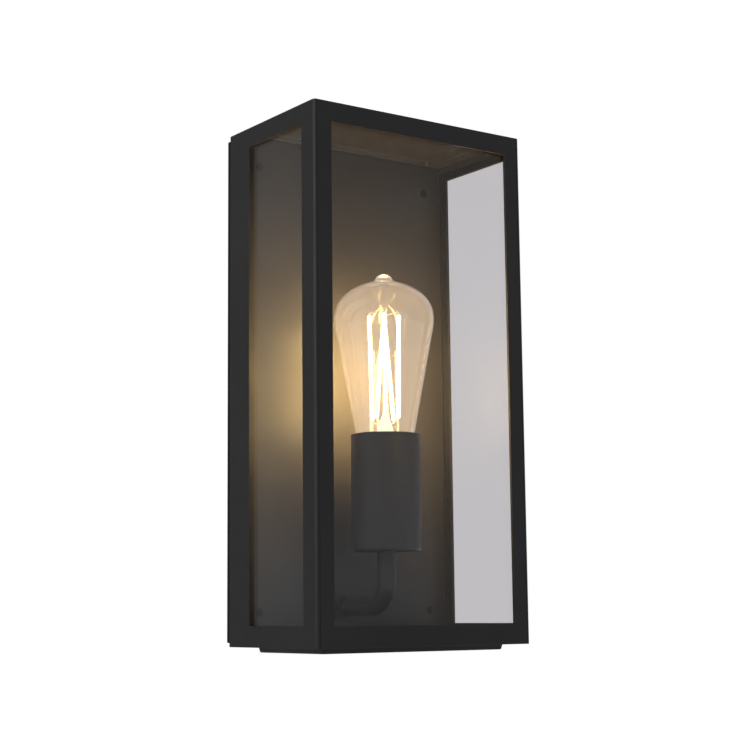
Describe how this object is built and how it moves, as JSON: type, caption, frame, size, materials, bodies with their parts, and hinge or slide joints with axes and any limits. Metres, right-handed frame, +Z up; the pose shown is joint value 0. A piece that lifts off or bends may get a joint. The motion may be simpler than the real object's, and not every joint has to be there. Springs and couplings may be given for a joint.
{
  "type": "outdoor wall lantern",
  "caption": "Rectangular glazed box lantern in black sheet steel, held on a wall tray, with a bent arm, cup lampholder and clear filament lamp.",
  "frame": {"origin": "centre of the two wall screw holes, on the wall plane", "axes": "+Z up, +Y into the wall, +X to the right of someone facing the wall"},
  "size_m": [0.162, 0.105, 0.3368],
  "materials": {
    "black_paint": "satin textured powder coat",
    "panel_paint": "satin powder coat",
    "zinc_steel": "zinc plated",
    "brass": "plain",
    "seal_rubber": "closed-cell foam",
    "bond_tape": "matt",
    "clear_glass": "clear float glass",
    "lamp_glass": "clear blown glass, faintly amber",
    "porcelain": "glazed porcelain",
    "lamp_filament": "phosphor-coated light strips",
    "lamp_insulator": "black glass",
    "circuit_board": "matt",
    "block_plastic": "moulded",
    "wire_brown": "wire insulation",
    "wire_blue": "wire insulation",
    "wire_earth": "wire insulation"
  },
  "bodies": {
    "wall_side": {"wall_gasket": "seal_rubber", "wall_spacers": "zinc_steel", "wall_tray": "zinc_steel", "tray_sides": "zinc_steel", "tray_ends": "zinc_steel", "panel_posts": "zinc_steel", "back_panel": "panel_paint", "panel_screws": "black_paint", "cable_grommet": "seal_rubber", "terminal_block": "block_plastic", "terminal_barrels": "brass", "terminal_screws": "zinc_steel", "block_screws": "zinc_steel", "earth_stud": "zinc_steel", "earth_lug": "zinc_steel", "earth_nut": "zinc_steel", "lead_live": "wire_brown", "lead_neutral": "wire_blue", "lead_earth": "wire_earth", "arm_tube": "black_paint", "arm_nipples": "zinc_steel", "arm_washer": "zinc_steel", "arm_nuts": "zinc_steel", "holder_cup": "black_paint", "holder_bracket": "zinc_steel", "holder_screws": "zinc_steel", "holder_porcelain": "porcelain", "holder_terminals": "brass", "holder_shell": "brass", "holder_contact": "brass"},
    "lamp_foot": {"lamp_insulator": "lamp_insulator", "lamp_contact": "zinc_steel"},
    "lamp": {"lamp_cap": "zinc_steel", "lamp_driver": "circuit_board", "lamp_glass": "lamp_glass", "lamp_stem": "clear_glass", "lamp_filaments": "lamp_filament", "lamp_wires": "zinc_steel"},
    "housing": {"front_frame": "black_paint", "side_frame_left": "black_paint", "side_frame_right": "black_paint", "roof_panel": "black_paint", "base_panel": "black_paint", "glass_front": "clear_glass", "glass_left": "clear_glass", "glass_right": "clear_glass", "tape_front": "bond_tape", "tape_left": "bond_tape", "tape_right": "bond_tape", "lock_bushes": "zinc_steel", "lock_screws": "zinc_steel"}
  },
  "joints": [
    {"name": "housing_slide", "type": "slide", "parent": "wall_side", "child": "housing", "axis": [0, -1, 0], "range_m": [0, 0.12]},
    {"name": "lamp_lift", "type": "slide", "parent": "wall_side", "child": "lamp_foot", "axis": [0, 0, 1], "range_m": [0, 0.0109]},
    {"name": "lamp_turn", "type": "hinge", "parent": "lamp_foot", "child": "lamp", "pos_m": [0, -0.06125, -0.06], "axis": [0, 0, 1], "range_deg": [0, 1080]}
  ],
  "couplings": [
    {"joint": "lamp_lift", "follows": "lamp_turn", "m_per_rad": 0.00057742}
  ]
}
